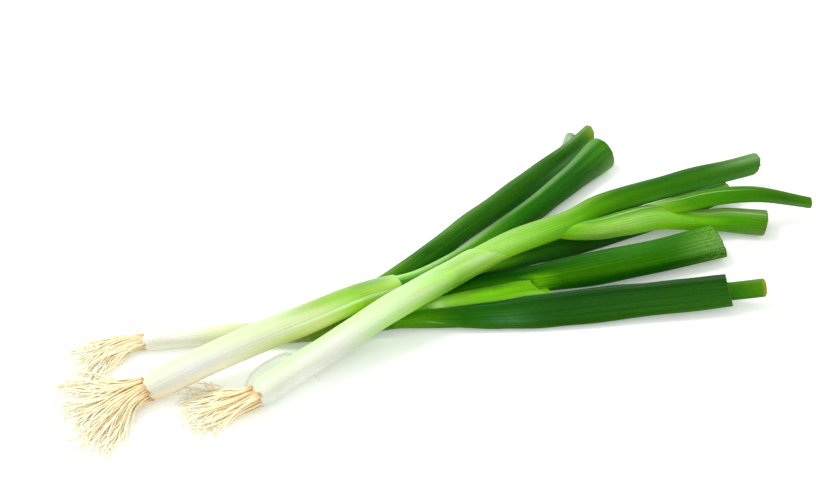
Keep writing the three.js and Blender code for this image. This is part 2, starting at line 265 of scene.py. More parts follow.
@dataclass(frozen=True)
class Stalk:
    """The form of a stem or leaf: a flattened round section carried along a route.

    A point is the route's point, plus the direction across it times the cosine of the angle and
    the half width, plus the upward direction times the sine and the half thickness. The roll
    turns both directions about the route, so that the near edge goes down.
    """

    route: Route
    width: Shares              # spaced evenly along the route, as shares of the size
    thickness: Shares
    seed: int
    size: float = STALK_SIZE   # mm
    roll: float = 0.0          # degrees
    slant: float = 0.0         # how far the open end reaches ahead on the near edge, mm
    lean: float = 0.0          # and on the upper face
    ribs: int = 30
    rib_height: float = 0.05   # mm
    waves: float = 0.15        # height of a gentle unevenness, mm
    dents: tuple[Dent, ...] = ()

    def relief(self, along: Array, angle: Array) -> Array:
        """Height of ribs, waves and dents over the plain form, mm, at each point."""
        height = self.waves * ripple(self.seed, along, angle, WAVE_LENGTH, 3)
        drift = 1.2 * ripple(self.seed + 1, along, angle * 0, RIB_WANDER, 0)
        strength = 1 + 0.5 * ripple(self.seed + 2, along, angle, RIB_FADE, 9)
        height = height + self.rib_height * strength * np.cos(self.ribs * angle + drift)
        for dent in self.dents:
            run = along - dent.share * self.route.length()
            turn = angle - math.radians(dent.angle)
            height = height - dent.depth * np.exp(-off_spot(run, dent.length, turn, dent.spread))
        return height

    def place(self, along: Array, angle: Array, inset: Array, relief: Array) -> Array:
        """Points of the surface.

        Args:
            along: distance along the route, mm.
            angle: angle round the section, radians: 0 on the near side, a quarter turn on top.
            inset: how far the point is inside the outer surface, mm.
            relief: how far it stands out of it, mm.

        Returns:
            The points, mm, in the frame.
        """
        point, ahead = self.route.at(along)
        across, above = axes(ahead)
        roll = math.radians(self.roll)
        across, above = (
            across * math.cos(roll) + np.cross(ahead, across) * math.sin(roll),
            above * math.cos(roll) + np.cross(ahead, above) * math.sin(roll),
        )
        share = along / self.route.length()
        half_width = self.size * even_spline(self.width, share) / 2 - inset + relief
        half_thickness = self.size * even_spline(self.thickness, share) / 2 - inset + relief
        point = point + across * (np.cos(angle) * half_width)[..., None]
        point = point + above * (np.sin(angle) * half_thickness)[..., None]
        point[..., 2] = np.maximum(point[..., 2], 0.8 * inset)
        return point


@dataclass
class Skin:
    """Rings of points that follow one another, with values for the materials at each point."""

    points: Array               # (tubes, rings, sides, 3), mm
    values: dict[str, Array]    # spread over (tubes, rings, sides)

    def make(self, name: str) -> bpy.types.Object:
        """Makes the mesh: quads between rings, and a fan that closes each end of each tube.

        Args:
            name: the object's name.

        Returns:
            The object, linked to the scene, at the origin.
        """
        tubes, rings, sides, _ = self.points.shape
        poles = self.points[:, [0, -1]].mean(axis=2).reshape(-1, 3)
        vertices = np.vstack([self.points.reshape(-1, 3), poles]) * MM
        index = np.arange(tubes * rings * sides).reshape(tubes, rings, sides)
        turned = np.roll(index, -1, axis=2)
        quads = np.stack([index[:, :-1], index[:, 1:], turned[:, 1:], turned[:, :-1]], -1).reshape(-1, 4)
        pole = tubes * rings * sides + np.arange(2 * tubes).reshape(tubes, 2)
        first = np.broadcast_to(pole[:, :1], (tubes, sides))
        last = np.broadcast_to(pole[:, 1:], (tubes, sides))
        start_fan = np.stack([first, index[:, 0], turned[:, 0]], -1).reshape(-1, 3)
        end_fan = np.stack([last, turned[:, -1], index[:, -1]], -1).reshape(-1, 3)
        mesh = bpy.data.meshes.new(name)
        mesh.from_pydata(vertices, [], quads.tolist() + start_fan.tolist() + end_fan.tolist())
        for label, value in self.values.items():
            full = np.broadcast_to(value, (tubes, rings, sides))
            ends = full[:, [0, -1]].mean(axis=2).reshape(-1)
            layer = mesh.attributes.new(label, "FLOAT", "POINT")
            layer.data.foreach_set("value", np.concatenate([full.reshape(-1), ends]).astype(np.float32))
        mesh.shade_smooth()
        mesh.update()
        piece = bpy.data.objects.new(name, mesh)
        bpy.context.scene.collection.objects.link(piece)
        log.info("%s: %d triangles", name, 2 * len(quads) + len(start_fan) + len(end_fan))
        return piece


class Graph:
    """Short ways to add and join the nodes of one material or node group."""

    def __init__(self, tree: bpy.types.NodeTree) -> None:
        """Works on the given node tree."""
        self.tree = tree

    def add(self, kind: str, **settings: object) -> bpy.types.Node:
        """Adds a node of that kind, with its settings."""
        node = self.tree.nodes.new(kind)
        for key, value in settings.items():
            setattr(node, key, value)
        return node

    def feed(self, socket: bpy.types.NodeSocket, value: object) -> None:
        """Joins a socket to another one, or sets its value."""
        if isinstance(value, bpy.types.NodeSocket):
            self.tree.links.new(value, socket)
        else:
            socket.default_value = value

    def read(self, label: str) -> bpy.types.NodeSocket:
        """The value that the mesh holds at each point under that name."""
        return self.add("ShaderNodeAttribute", attribute_name=label).outputs["Fac"]

    def math(self, operation: str, *values: object) -> bpy.types.NodeSocket:
        """The result of one arithmetic step on one to three values."""
        node = self.add("ShaderNodeMath", operation=operation)
        for socket, value in zip(node.inputs, values):
            self.feed(socket, value)
        return node.outputs[0]

    def rise(self, value: object, low: float, high: float, start: float = 0.0, end: float = 1.0):
        """Goes smoothly from start to end as a value goes from low to high."""
        node = self.add("ShaderNodeMapRange", interpolation_type="SMOOTHSTEP")
        for label, given in zip(
            ("Value", "From Min", "From Max", "To Min", "To Max"), (value, low, high, start, end)
        ):
            self.feed(node.inputs[label], given)
        return node.outputs["Result"]

    def mix(self, factor: object, first: object, second: object, blend: str = "MIX"):
        """Mixes two colours."""
        node = self.add("ShaderNodeMix", data_type="RGBA", blend_type=blend)
        self.feed(node.inputs["Factor"], factor)
        self.feed(node.inputs[6], first)
        self.feed(node.inputs[7], second)
        return node.outputs[2]

    def ramp(self, factor: object, stops: Stops) -> bpy.types.NodeSocket:
        """The colour at a place between 0 and 1 of a row of colour stops."""
        node = self.add("ShaderNodeValToRGB")
        row = node.color_ramp.elements
        for _ in range(len(stops) - 2):
            row.new(0.5)
        for element, (place, shade) in zip(row, stops):
            element.position = place
            element.color = colour(shade)
        self.feed(node.inputs[0], factor)
        return node.outputs["Color"]

    def noise(self, vector: object, scale: object, detail: float = 2.0) -> bpy.types.NodeSocket:
        """Cloudy noise, from 0 to 1."""
        node = self.add("ShaderNodeTexNoise")
        self.feed(node.inputs["Vector"], vector)
        self.feed(node.inputs["Scale"], scale)
        self.feed(node.inputs["Detail"], detail)
        return node.outputs["Fac"]

    def call(self, group: bpy.types.NodeTree, **values: object) -> bpy.types.Node:
        """Places a node group, with its inputs."""
        node = self.add("ShaderNodeGroup", node_tree=group)
        for label, value in values.items():
            self.feed(node.inputs[label], value)
        return node

    def swing(self, value: object, size: float, middle: object) -> bpy.types.NodeSocket:
        """A middle value, moved up or down by a noise about a half."""
        return self.math("MULTIPLY_ADD", self.math("SUBTRACT", value, 0.5), size, middle)

    def body(self, shader: bpy.types.Node, glow: float, radius: Point, depth: float) -> None:
        """Lets light spread under the skin: its share, reach by colour, and depth in metres."""
        shader.inputs["Subsurface Weight"].default_value = glow
        shader.inputs["Subsurface Radius"].default_value = radius
        shader.inputs["Subsurface Scale"].default_value = depth

    def bump(self, shader: bpy.types.Node, height: object, strength: float, distance: float) -> None:
        """Roughens the surface by a height, with a full height of that many metres."""
        node = self.add("ShaderNodeBump")
        node.inputs["Strength"].default_value = strength
        node.inputs["Distance"].default_value = distance
        self.feed(node.inputs["Height"], height)
        self.feed(shader.inputs["Normal"], node.outputs[0])


def colour(shade: str) -> tuple[float, float, float, float]:
    """The linear colour of a six-digit screen colour."""
    parts = [int(shade[i:i + 2], 16) / 255 for i in (0, 2, 4)]
    linear = [c / 12.92 if c <= 0.04045 else ((c + 0.055) / 1.055) ** 2.4 for c in parts]
    return (*linear, 1.0)


def new_material(mesh: bpy.types.Mesh) -> tuple[Graph, bpy.types.Node]:
    """Gives a mesh a material of its own name: returns its graph and its shader."""
    material = bpy.data.materials.new(mesh.name)
    material.use_nodes = True
    mesh.materials.append(material)
    return Graph(material.node_tree), material.node_tree.nodes["Principled BSDF"]


def new_group(name: str, inputs: tuple[str, ...], outputs: tuple[str, ...]) -> Graph:
    """Starts a node group with number sockets of those names.

    Args:
        name: the group's name.
        inputs: names of its inputs.
        outputs: names of its outputs.

    Returns:
        The group's graph, whose first two nodes are its input and its output.
    """
    tree = bpy.data.node_groups.new(name, "ShaderNodeTree")
    for way, labels in (("INPUT", inputs), ("OUTPUT", outputs)):
        for label in labels:
            tree.interface.new_socket(label, in_out=way, socket_type="NodeSocketFloat")
    graph = Graph(tree)
    graph.add("NodeGroupInput")
    graph.add("NodeGroupOutput")
    return graph


def fibre_group() -> bpy.types.NodeTree:
    """Builds the fibres group, or finds it again.

    Noises stretched along the stalk: a fine one for single fibres, a broad one for bands, and
    clouds. They read the section's cosine and sine, so that they close round it. Veins are the
    cosine of a whole number of turns of the section's angle.

    Returns:
        The group, with outputs Fine, Broad, Cloud and Vein.
    """
    if "Fibres" in bpy.data.node_groups:
        return bpy.data.node_groups["Fibres"]
    graph = new_group("Fibres", ("Side", "Face", "Along", "Seed"), ("Fine", "Broad", "Cloud", "Vein"))
    given, out = graph.tree.nodes
    for label, fineness, stretch, detail in (
        ("Fine", 9.0, 0.012, 3.0),
        ("Broad", 2.52, 0.006, 2.0),
        ("Cloud", 1.44, 0.05, 3.0),
    ):
        place = graph.add("ShaderNodeCombineXYZ")
        graph.feed(place.inputs[0], graph.math("MULTIPLY", given.outputs["Side"], fineness))
        graph.feed(place.inputs[1], graph.math("MULTIPLY", given.outputs["Face"], fineness))
        run = graph.math("MULTIPLY_ADD", given.outputs["Along"], stretch, given.outputs["Seed"])
        graph.feed(place.inputs[2], run)
        spread = graph.rise(graph.noise(place.outputs[0], 1.0, detail), 0.25, 0.75)
        graph.feed(out.inputs[label], spread)
    angle = graph.math("ARCTAN2", given.outputs["Face"], given.outputs["Side"])
    drift = graph.math("SINE", graph.math("MULTIPLY", given.outputs["Along"], VEIN_DRIFT))
    graph.feed(out.inputs["Vein"], graph.math("COSINE", graph.math("MULTIPLY_ADD", angle, VEINS, drift)))
    return graph.tree


def speck_group() -> bpy.types.NodeTree:
    """Builds the specks group, or finds it again: small round spots, scattered over a piece."""
    if "Specks" in bpy.data.node_groups:
        return bpy.data.node_groups["Specks"]
    graph = new_group("Specks", ("Scale", "Size"), ("Mask",))
    given, out = graph.tree.nodes
    cells = graph.add("ShaderNodeTexVoronoi")
    graph.feed(cells.inputs["Vector"], graph.add("ShaderNodeTexCoord").outputs["Object"])
    graph.feed(cells.inputs["Scale"], given.outputs["Scale"])
    inside = graph.math("LESS_THAN", cells.outputs["Distance"], given.outputs["Size"])
    tone = graph.add("ShaderNodeSeparateColor")
    graph.feed(tone.inputs[0], cells.outputs["Color"])
    graph.feed(out.inputs["Mask"], graph.math("MULTIPLY", inside, tone.outputs[0]))
    return graph.tree


@dataclass(frozen=True)
class StalkFinish:
    """The skin of a stem or leaf: colours along it with painted light and shade across it, fibres, veins,
    a pale painted sheen, and its open end.
    """

    slot: Slot
    # the three rows hold the piece's own colours and also painted light and shade: each side is painted
    # lighter or darker as the light falls on it
    crest: Stops                     # colours along the far upper side
    top: Stops                       # colours along the middle of the upper side
    under: Stops                     # colours along the lower, near side
    edge: str = "8a8f3a"             # the drying edge of a cut or mouth
    edge_width: float = 0.5          # how far the edge colour reaches, mm
    hollow: str = "8fbf58"           # inside a cut end
    painted_sheen: str = "a8c89a"             # pale painted sheen on the uppermost side
    painted_sheen_strength: float = 0.05
    contrast: float = 0.3            # how far fibres darken and lighten the skin
    grain: float = 0.1               # how far small blotches do
    vein: float = 0.08               # how far veins darken and lighten it
    under_to_top: tuple[float, float] = (-0.85, -0.15)   # where one row of colours passes into the
    top_to_crest: tuple[float, float] = (0.15, 0.85)     # next, from -1 on the near side to 1
    gloss: float = 0.06              # strength of mirror-like reflection
    glow: float = 0.1                # light that spreads under the skin
    specks: float = 0.0

    def dress(self, piece: bpy.types.Object, seed: float, marks: tuple[Mark, ...]) -> None:
        """Gives a piece its material.

        Args:
            piece: the object to dress.
            seed: moves the noise, so that no two pieces are alike.
            marks: the piece's marks, whose cover its mesh holds.
        """
        graph, shader = new_material(piece.data)
        fibres = graph.call(
            fibre_group(), Seed=seed,
            Side=graph.read("side"), Face=graph.read("face"), Along=graph.read("run"),
        )
        fine, broad, cloud, vein = fibres.outputs
        # the side that faces the light picks the rows below: painted light and shade
        lit = graph.read("lit")
        wander = graph.swing(broad, SHIFT_ALONG, graph.read("along"))
        turn = graph.swing(broad, SHIFT_ROUND, lit)
        up = graph.rise(turn, *self.under_to_top)
        far = graph.rise(turn, *self.top_to_crest)
        skin = graph.mix(up, graph.ramp(wander, self.under), graph.ramp(wander, self.top))
        skin = graph.mix(far, skin, graph.ramp(wander, self.crest))
        # a pale painted sheen on the uppermost side, broken up by the fine fibres
        sheen = graph.rise(lit, 0.6, 1.0, 0.0, self.painted_sheen_strength)
        sheen = graph.math("MULTIPLY", sheen, graph.math("MULTIPLY_ADD", fine, 0.8, 0.4))
        skin = graph.mix(sheen, skin, colour(self.painted_sheen))
        for i, mark in enumerate(marks):
            cover = graph.math("MULTIPLY", graph.read(f"mark{i}"), mark.strength)
            broken = graph.math("MULTIPLY_ADD", graph.rise(fine, 0.3, 0.75), mark.streak, 1 - mark.streak)
            skin = graph.mix(graph.math("MULTIPLY", cover, broken), skin, colour(mark.shade))
        tone = graph.swing(fine, self.contrast, 1.0)
        tone = graph.swing(broad, self.contrast * 0.7, tone)
        place = graph.add("ShaderNodeTexCoord").outputs["Object"]
        grain = graph.rise(graph.noise(place, GRAIN_SCALE, 3.0), 0.25, 0.75)
        tone = graph.swing(grain, self.grain, tone)
        ridge = graph.math("MULTIPLY", vein, graph.math("MULTIPLY_ADD", cloud, self.vein, self.vein / 2))
        skin = graph.mix(1.0, skin, self.grey(graph, graph.math("ADD", tone, ridge)), "MULTIPLY")
        if self.specks > 0:
            skin = self.speckle(graph, skin)
        edge = graph.rise(graph.read("edge"), 0.0, self.edge_width, 1.0, 0.0)
        skin = graph.mix(edge, skin, colour(self.edge))
        hollow = graph.mix(graph.math("MULTIPLY", broad, 0.5), colour(self.hollow), colour(self.edge))
        skin = graph.mix(graph.rise(graph.read("inside"), 0.45, 1.0), skin, hollow)
        graph.feed(shader.inputs["Base Color"], skin)
        graph.feed(shader.inputs["Roughness"], graph.swing(cloud, 0.16, 0.45))
        shader.inputs["Specular IOR Level"].default_value = self.gloss
        graph.body(shader, self.glow, (1.0, 1.1, 0.5), SKIN_DEPTH)
        height = graph.math("MULTIPLY_ADD", vein, 0.35, graph.math("MULTIPLY_ADD", broad, 0.6, fine))
        graph.bump(shader, height, 0.35, RIB_DEPTH)

    @staticmethod
    def grey(graph: Graph, value: bpy.types.NodeSocket) -> bpy.types.NodeSocket:
        """A grey of that value."""
        node = graph.add("ShaderNodeCombineColor")
        for socket in node.inputs[:3]:
            graph.feed(socket, value)
        return node.outputs[0]

    def speckle(self, graph: Graph, skin: bpy.types.NodeSocket) -> bpy.types.NodeSocket:
        """Pale dry specks near the cut end."""
        spots = graph.call(speck_group(), Scale=1300.0, Size=0.4).outputs["Mask"]
        near = graph.rise(graph.read("edge"), 2.0, 16.0, self.specks, 0.0)
        return graph.mix(graph.math("MULTIPLY", spots, near), skin, colour("b8c8a0"))


@dataclass(frozen=True)
class OpenEnd:
    """The open end of a hollow leaf or sheath."""

    wall: float = 0.7        # thickness of the wall at the end, mm
    depth: float = 22.0      # how deep the hollow is modelled, mm
    ragged: float = 0.15     # unevenness of the edge, mm
    hug: float = 1.0         # width at the end, as a share of the plain form's
    hug_length: float = 24.0  # over what length it narrows, mm

    def ahead(self, stalk: Stalk, angle: Array) -> Array:
        """How far the end reaches past the route's end at each angle, mm.

        The slant times the cosine, plus the lean times the sine, plus a small unevenness.
        """
        uneven = self.ragged * ripple(stalk.seed + 5, angle * 0, angle, 10.0, 24)
        return stalk.slant * np.cos(angle) + stalk.lean * np.sin(angle) + uneven


@dataclass(frozen=True)
class Blade:
    """A stem or leaf: its form, its open end and its finish."""

    name: str
    stalk: Stalk
    finish: StalkFinish
    end: OpenEnd = OpenEnd()
    sides: int = 112
    marks: tuple[Mark, ...] = ()
    foot: float = 1.0        # width at the very start, as a share of the plain form's
    foot_length: float = 5.0  # over what length it reaches its full width, mm

    def build(self) -> bpy.types.Object:
        """Makes the surface: outside, rounded rim, hollow, and closed ends.

        The outside runs from the start to the end in even rings. The rim follows a half circle
        across the wall, and the hollow runs back inside it.

        Returns:
            The finished piece.
        """
        stalk = self.stalk
        length = stalk.route.length()
        rings = int(length / RING_SPACING)
        out = np.linspace(0.0, 1.0, rings)
        rim = np.linspace(0.0, 1.0, RIM_RINGS)[1:]
        back = np.linspace(0.0, 1.0, HOLLOW_RINGS)[1:]
        along = np.concatenate([out * length, np.full(rim.shape, length), length - back * self.end.depth])
        inset = np.concatenate([out * 0, rim, back * 0 + 1]) * self.end.wall
        lip = np.concatenate([out * 0, 0.35 * self.end.wall * np.sin(np.pi * rim), back * 0])
        inside = np.concatenate([out * 0, rim * 0.5, back * 0 + 1])
        angle = np.linspace(0.0, 2 * np.pi, self.sides, endpoint=False)[None, :]
        along, inset, lip, inside = (row[:, None] for row in (along, inset, lip, inside))
        share = along / length
        fade = np.maximum(0.0, (share - 1) / END_SHARE + 1)
        reach = self.end.ahead(stalk, angle) * fade
        narrow = (1 - self.end.hug) * smoothstep(along, length - self.end.hug_length, length)
        foot = (1 - self.foot) * (1 - np.clip(along / self.foot_length, 0, 1)) ** 2
        relief = stalk.relief(along, angle) - (narrow + foot) * stalk.size / 2
        points = stalk.place(along + reach + lip, angle, inset, relief)
        spread = stalk.size / STALK_SIZE
        values = {
            "along": share,
            "run": along,
            "side": np.cos(angle) * spread,
            "face": np.sin(angle) * spread,
            "lit": self.lit(points, along),
            "edge": np.where(inside > 0, 0.0, length - along),
            "inside": inside,
        }
        for i, mark in enumerate(self.marks):
            values[f"mark{i}"] = mark.cover(share, length, angle)
        piece = Skin(points[None], values).make(self.name)
        self.finish.dress(piece, float(stalk.seed), self.marks)
        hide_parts(self.name.replace("fine_", ""))
        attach(piece, "root")
        return piece

    def lit(self, points: Array, along: Array) -> Array:
        """How far across its section a point is, from -1 on the low near side to 1 on the far one: it
        sets the painted light and shade.

        The offset from the ring's middle, along the direction that is square to both the route
        and a line that leans back over the bunch, over the ring's largest such offset.
        """
        _, ahead = self.stalk.route.at(along[:, 0])
        over = np.cross(LEAN_BACK, ahead)
        over /= np.linalg.norm(over, axis=-1)[:, None]
        offset = points - points.mean(axis=1, keepdims=True)
        height = (offset * over[:, None]).sum(axis=-1)
        return height / np.maximum(np.abs(height).max(axis=1, keepdims=True), 1e-6)


@dataclass(frozen=True)
class RootFinish:
    """Dry cream roots, a little brown where they leave the plate, with a faint painted glow in their own
    colour.
    """

    def dress(self, piece: bpy.types.Object, seed: float) -> None:
        """Gives a tuft its material: a tone for each root, a colour along it, fine mottling and a faint
        painted glow.
        """
        graph, shader = new_material(piece.data)
        place = graph.add("ShaderNodeTexCoord").outputs["Object"]
        mottle = graph.noise(place, 420.0 + seed, 3.0)
        coarse = graph.noise(place, 90.0 + seed, 2.0)
        along = graph.swing(coarse, 0.3, graph.read("along"))
        skin = graph.ramp(along, (
            (0.0, "cca46c"), (0.03, "dcc090"), (0.08, "e8d8ae"),
            (0.4, "eee4c2"), (0.75, "f0e8ce"), (1.0, "f2eedc"),
        ))
        brown = graph.ramp(along, ((0.0, "b48c54"), (0.12, "d4b880"), (0.6, "e2d2a6"), (1.0, "e8ddb8")))
        skin = graph.mix(graph.rise(graph.read("tone"), 0.35, 1.0, 0.0, 0.8), skin, brown)
        skin = graph.mix(graph.rise(mottle, 0.45, 0.75, 0.0, 0.2), skin, colour("d2ba8a"))
        skin = graph.mix(graph.rise(graph.read("tone"), -1.0, 0.0, 1.0, 0.0), skin, colour("f4f7ee"))
        graph.feed(shader.inputs["Base Color"], skin)
        # the roots glow faintly in their own colour: painted light that brightens them
        graph.feed(shader.inputs["Emission Color"], skin)
        shader.inputs["Emission Strength"].default_value = 0.05
        shader.inputs["Roughness"].default_value = 0.62
        graph.body(shader, 0.2, (1.0, 0.8, 0.5), 0.001)
        graph.bump(shader, mottle, 0.4, 0.0001)


@dataclass(frozen=True)
class RootTuft:
    """The basal plate of an onion and the roots that fan out from it on the surface."""

    name: str
    stem: Stalk
    heading: float            # the middle of the fan, degrees from +X towards +Y
    fan: float                # its whole spread, degrees
    reach: tuple[float, float]
    count: int
    seed: int
    bend: float = 0.0         # how far a root turns to the near side by its tip, degrees
    thick: float = 1.2        # a root's diameter at the plate, mm
    thin: float = 0.6         # and at its tip
    stray: Route | None = None
    finish: RootFinish = RootFinish()

    def build(self) -> bpy.types.Object:
        """Makes the plate and all roots as tubes of one mesh.

        Returns:
            The finished piece.
        """
        centre, tone, radius = self.courses(np.random.default_rng(self.seed), ROOT_RINGS)
        tubes = self.tubes(centre, radius, ROOT_SIDES)
        along = np.linspace(0, 1, ROOT_RINGS)[None, :, None]
        piece = Skin(tubes, {"along": along, "tone": tone[:, None, None]}).make(self.name)
        join(piece, self.plate())
        if self.stray is not None:
            join(piece, self.strand(self.stray))
        self.finish.dress(piece, float(self.seed))
        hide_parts(self.name.replace("fine_", ""))
        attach(piece, "root")
        return piece

    def foot(self) -> tuple[Array, Array, Array, Array, float]:
        """The stem's first point, its directions ahead, across and above, and its radius, mm."""
        point, ahead = self.stem.route.at(np.array(0.0))
        return point, ahead, *axes(ahead), self.stem.size * self.stem.width[0] / 2

    def courses(self, random: np.random.Generator, rings: int) -> tuple[Array, Array, Array]:
        """Centre lines of all roots, with their tones and radii.

        A root leaves the plate backwards, swings to its own heading and sinks to its layer. Two
        sine waves of random length and phase bend it sideways and up, more towards its tip.

        Args:
            random: the tuft's random numbers.
            rings: number of points on each line.

        Returns:
            The lines, (roots, rings, 3), the tones from 0 to 1, (roots,), and radii, (roots, rings).
        """
        point, ahead, across, above, plate = self.foot()
        n = self.count
        share = np.linspace(0.0, 1.0, rings)[None, :]

        def draw(low: float, high: float) -> Array:
            """One random number for each root, in a column."""
            return random.uniform(low, high, n)[:, None]

        turn = (np.arange(n) + random.uniform(0, 1, n)) / n - 0.5
        turn = turn + random.normal(0, 0.06, n)
        heading = np.radians(self.heading + self.fan * turn)[:, None]
        reach = draw(*self.reach)
        rooted = ROOTED_SHARE * plate
        disc = np.sqrt(random.uniform(0, 1, n)) * rooted
        disc_angle = random.uniform(0, 2 * np.pi, n)
        sideways = np.clip(turn * plate + 0.5 * disc * np.cos(disc_angle), -rooted, rooted)
        upward = disc * np.sin(disc_angle)
        start = point + ahead * SUNK + across * sideways[:, None] + above * upward[:, None]
        rest = self.thick / 2 + PILE * draw(0, 1) ** 1.5 * (1 - 0.75 * share)
        size = draw(0.25, 0.6)
        wave = size * np.sin(2 * np.pi * share * draw(0.5, 1.3) + draw(0, 2 * np.pi)) * share
        curl = random.normal(0, 0.5, n)[:, None] * share**3
        bend = heading + wave + curl + math.radians(self.bend) * share**1.4
        step = reach / (rings - 1)
        blend = np.clip(share / 0.35, 0, 1)[..., None] ** 0.7
        direction = np.stack([np.cos(bend), np.sin(bend), 0 * bend], -1)
        direction = -ahead[None, None] * (1 - blend) + direction * blend
        path = np.cumsum(direction * step[..., None], axis=1)
        path = path - path[:, :1] + start[:, None, :]
        sink = smoothstep(share, 0.0, 0.8)
        bob = BOB * np.sin(2 * np.pi * share * draw(1, 2.5) + draw(0, 6))
        height = start[:, 2][:, None] * (1 - sink) + rest * sink + bob * share * (1 - share) * 2
        radius = (self.thick + (self.thin - self.thick) * share**0.8) / 2
        radius = radius * draw(0.6, 1.15)
        path[..., 2] = np.maximum(height, radius)
        return path, random.uniform(0, 1, n), radius

    def tubes(self, centre: Array, radius: Array, sides: int) -> Array:
        """Round tubes about centre lines.

        Each ring is the centre plus the radius times the cosine and sine of the angle along the
        level direction across the line and the direction above it.

        Args:
            centre: the lines, (tubes, rings, 3).
            radius: the radii, (tubes, rings).
            sides: number of sides.

        Returns:
            The points, (tubes, rings, sides, 3).
        """
        ahead = np.gradient(centre, axis=1)
        ahead /= np.maximum(np.linalg.norm(ahead, axis=-1)[..., None], 1e-9)
        across, above = axes(ahead)
        angle = np.linspace(0.0, 2 * np.pi, sides, endpoint=False)
        ring = across[:, :, None] * np.cos(angle)[:, None] + above[:, :, None] * np.sin(angle)[:, None]
        return centre[:, :, None] + ring * radius[:, :, None, None]

    def plate(self) -> bpy.types.Object:
        """The rough disc that the roots grow from, a low dome behind the stem's foot."""
        point, ahead, across, above, radius = self.foot()
        share = np.linspace(0.0, 1.0, PLATE_RINGS)[:, None]
        angle = np.linspace(0.0, 2 * np.pi, PLATE_SIDES, endpoint=False)[None, :]
        spread = radius * np.interp(share, np.linspace(0, 1, len(PLATE_SHAPE)), PLATE_SHAPE)
        spread = spread + 0.2 * ripple(self.seed, share * 20, angle, 3.0, 18)
        back = PLATE_BACK * (1 - share) + PLATE_FRONT * share
        centre = point + ahead * back[..., None]
        points = centre + across * (spread * np.cos(angle))[..., None]
        points = points + above * (spread * np.sin(angle))[..., None]
        points[..., 2] = np.maximum(points[..., 2], 0.05)
        values = {"along": 0.02 + 0.04 * (1 - share), "tone": np.array(0.5)}
        return Skin(points[None], values).make(self.name + "_plate")

    def strand(self, route: Route) -> bpy.types.Object:
        """A single thin root that wanders over the surface, white and even in width."""
        centre, _ = route.line(24)
        left = np.arange(len(centre))[::-1] / (TAPER_RINGS - 1)
        radius = self.thin * (0.4 + 0.5 * np.minimum(left, 1.0))
        points = self.tubes(centre[None], radius[None], 10)
        values = {"along": np.array(0.95), "tone": np.array(-1.0)}
        return Skin(points, values).make(self.name + "_strand")


def join(piece: bpy.types.Object, other: bpy.types.Object) -> None:
    """Adds another object's mesh to a piece's."""
    with bpy.context.temp_override(
        active_object=piece, object=piece, selected_objects=[piece, other],
        selected_editable_objects=[piece, other],
    ):
        bpy.ops.object.join()


FRONT_STEM = Stalk(
    Route((
        (-96.5, -33, 6.2), (-74.5, -27.5, 9), (-52, -23, 12.8),
        (-21.5, -17, 17.6), (0.5, -13, 19.2), (27.5, -6.5, 19.2),
    )),
    width=(1, 0.97, 0.96, 0.96, 0.95, 0.87),
    thickness=(1, 0.97, 0.96, 0.96, 0.95, 0.87),
    slant=5.5, lean=-5.5, ribs=34, rib_height=0.035, waves=0.12, seed=11,
)
MIDDLE_STEM = Stalk(
    Route((
        (-138.5, -10, 6.2), (-112, -10, 12.3), (-81.5, -9.5, 16.3),
        (-57.5, -8, 16.9), (-31.5, -3, 13.8), (-15.2, -1.1, 10.9),
    )),
    width=(1.04, 1.05, 1.06, 1.05, 0.97, 0.86),
    thickness=(1.04, 1.05, 1.06, 1.05, 0.97, 0.86),
    slant=0.5, lean=-1.2, ribs=34, rib_height=0.035, waves=0.14, seed=21,
)
BACK_STEM = Stalk(
    Route(((-130, 19.5, 4.1), (-99, 10, 4.3), (-57, -5.5, 4.6), (-23, -13.5, 4.7), (-9, -18.5, 4.5))),
    size=9.2, width=(0.9, 0.96, 1.08, 1.09, 1.03, 0.95),
    thickness=(0.9, 0.96, 1.06, 1.07, 1, 0.9), lean=-4,
    ribs=26, rib_height=0.03, waves=0.1, seed=31,
)
FRONT_UPPER = Stalk(
    Route((
        (12.5, -9.5, 19.2), (38, -4.5, 18.8), (57, -3, 18.2), (73, -1.5, 17.9),
        (89, 2, 17.5), (130, 2.5, 15.8), (171.8, 3.5, 11.6),
    )),
    width=(0.83, 0.84, 0.9, 0.86, 0.83, 0.86, 0.88, 0.8, 0.8),
    thickness=(0.83, 0.84, 0.88, 0.8, 0.73, 0.7, 0.68, 0.6, 0.68),
    roll=20, slant=-1, lean=2, rib_height=0.04, seed=12,
)
FRONT_INNER = Stalk(
    Route((
        (100, -5.5, 12), (116, -7.5, 13.6), (125, -11, 16.2), (134, -12.5, 17),
        (146, -15, 17), (161.5, -19.5, 15.5), (185.4, -27.2, 7.7),
    )),
    width=(0.56, 0.63, 0.68, 0.66, 0.57, 0.46),
    thickness=(0.46, 0.41, 0.38, 0.34, 0.3, 0.28),
    roll=15, ribs=22, rib_height=0.03, waves=0.08, seed=13,
)
FRONT_MIDDLE = Stalk(
    Route((
        (58, -4, 17.6), (70, -6.5, 16.4), (84, -8, 14), (97, -8, 12.4),
        (114.5, -9, 10.5), (132.5, -16.5, 7.6), (145, -20, 6), (160, -28.5, 5.6),
    )),
    width=(0.5, 0.68, 0.83, 0.96, 0.95, 0.81, 0.93, 0.97),
    thickness=(0.5, 0.66, 0.79, 0.89, 0.83, 0.69, 0.79, 0.85),
    roll=12, lean=1, rib_height=0.04, waves=0.12, seed=14,
)
FRONT_OUTER = Stalk(
    Route((
        (20.5, -7, 14.2), (30.5, -5, 11), (42, -3.5, 7.6), (56, -2, 5.4),
        (80, -2.5, 4.3), (110, -2.5, 4.3), (155.5, -2, 5),
    )),
    width=(0.62, 0.8, 1, 1.06, 1.06, 1.02, 0.9, 0.74),
    thickness=(0.52, 0.62, 0.68, 0.68, 0.68, 0.66, 0.64, 0.62),
    roll=10, seed=15,
)
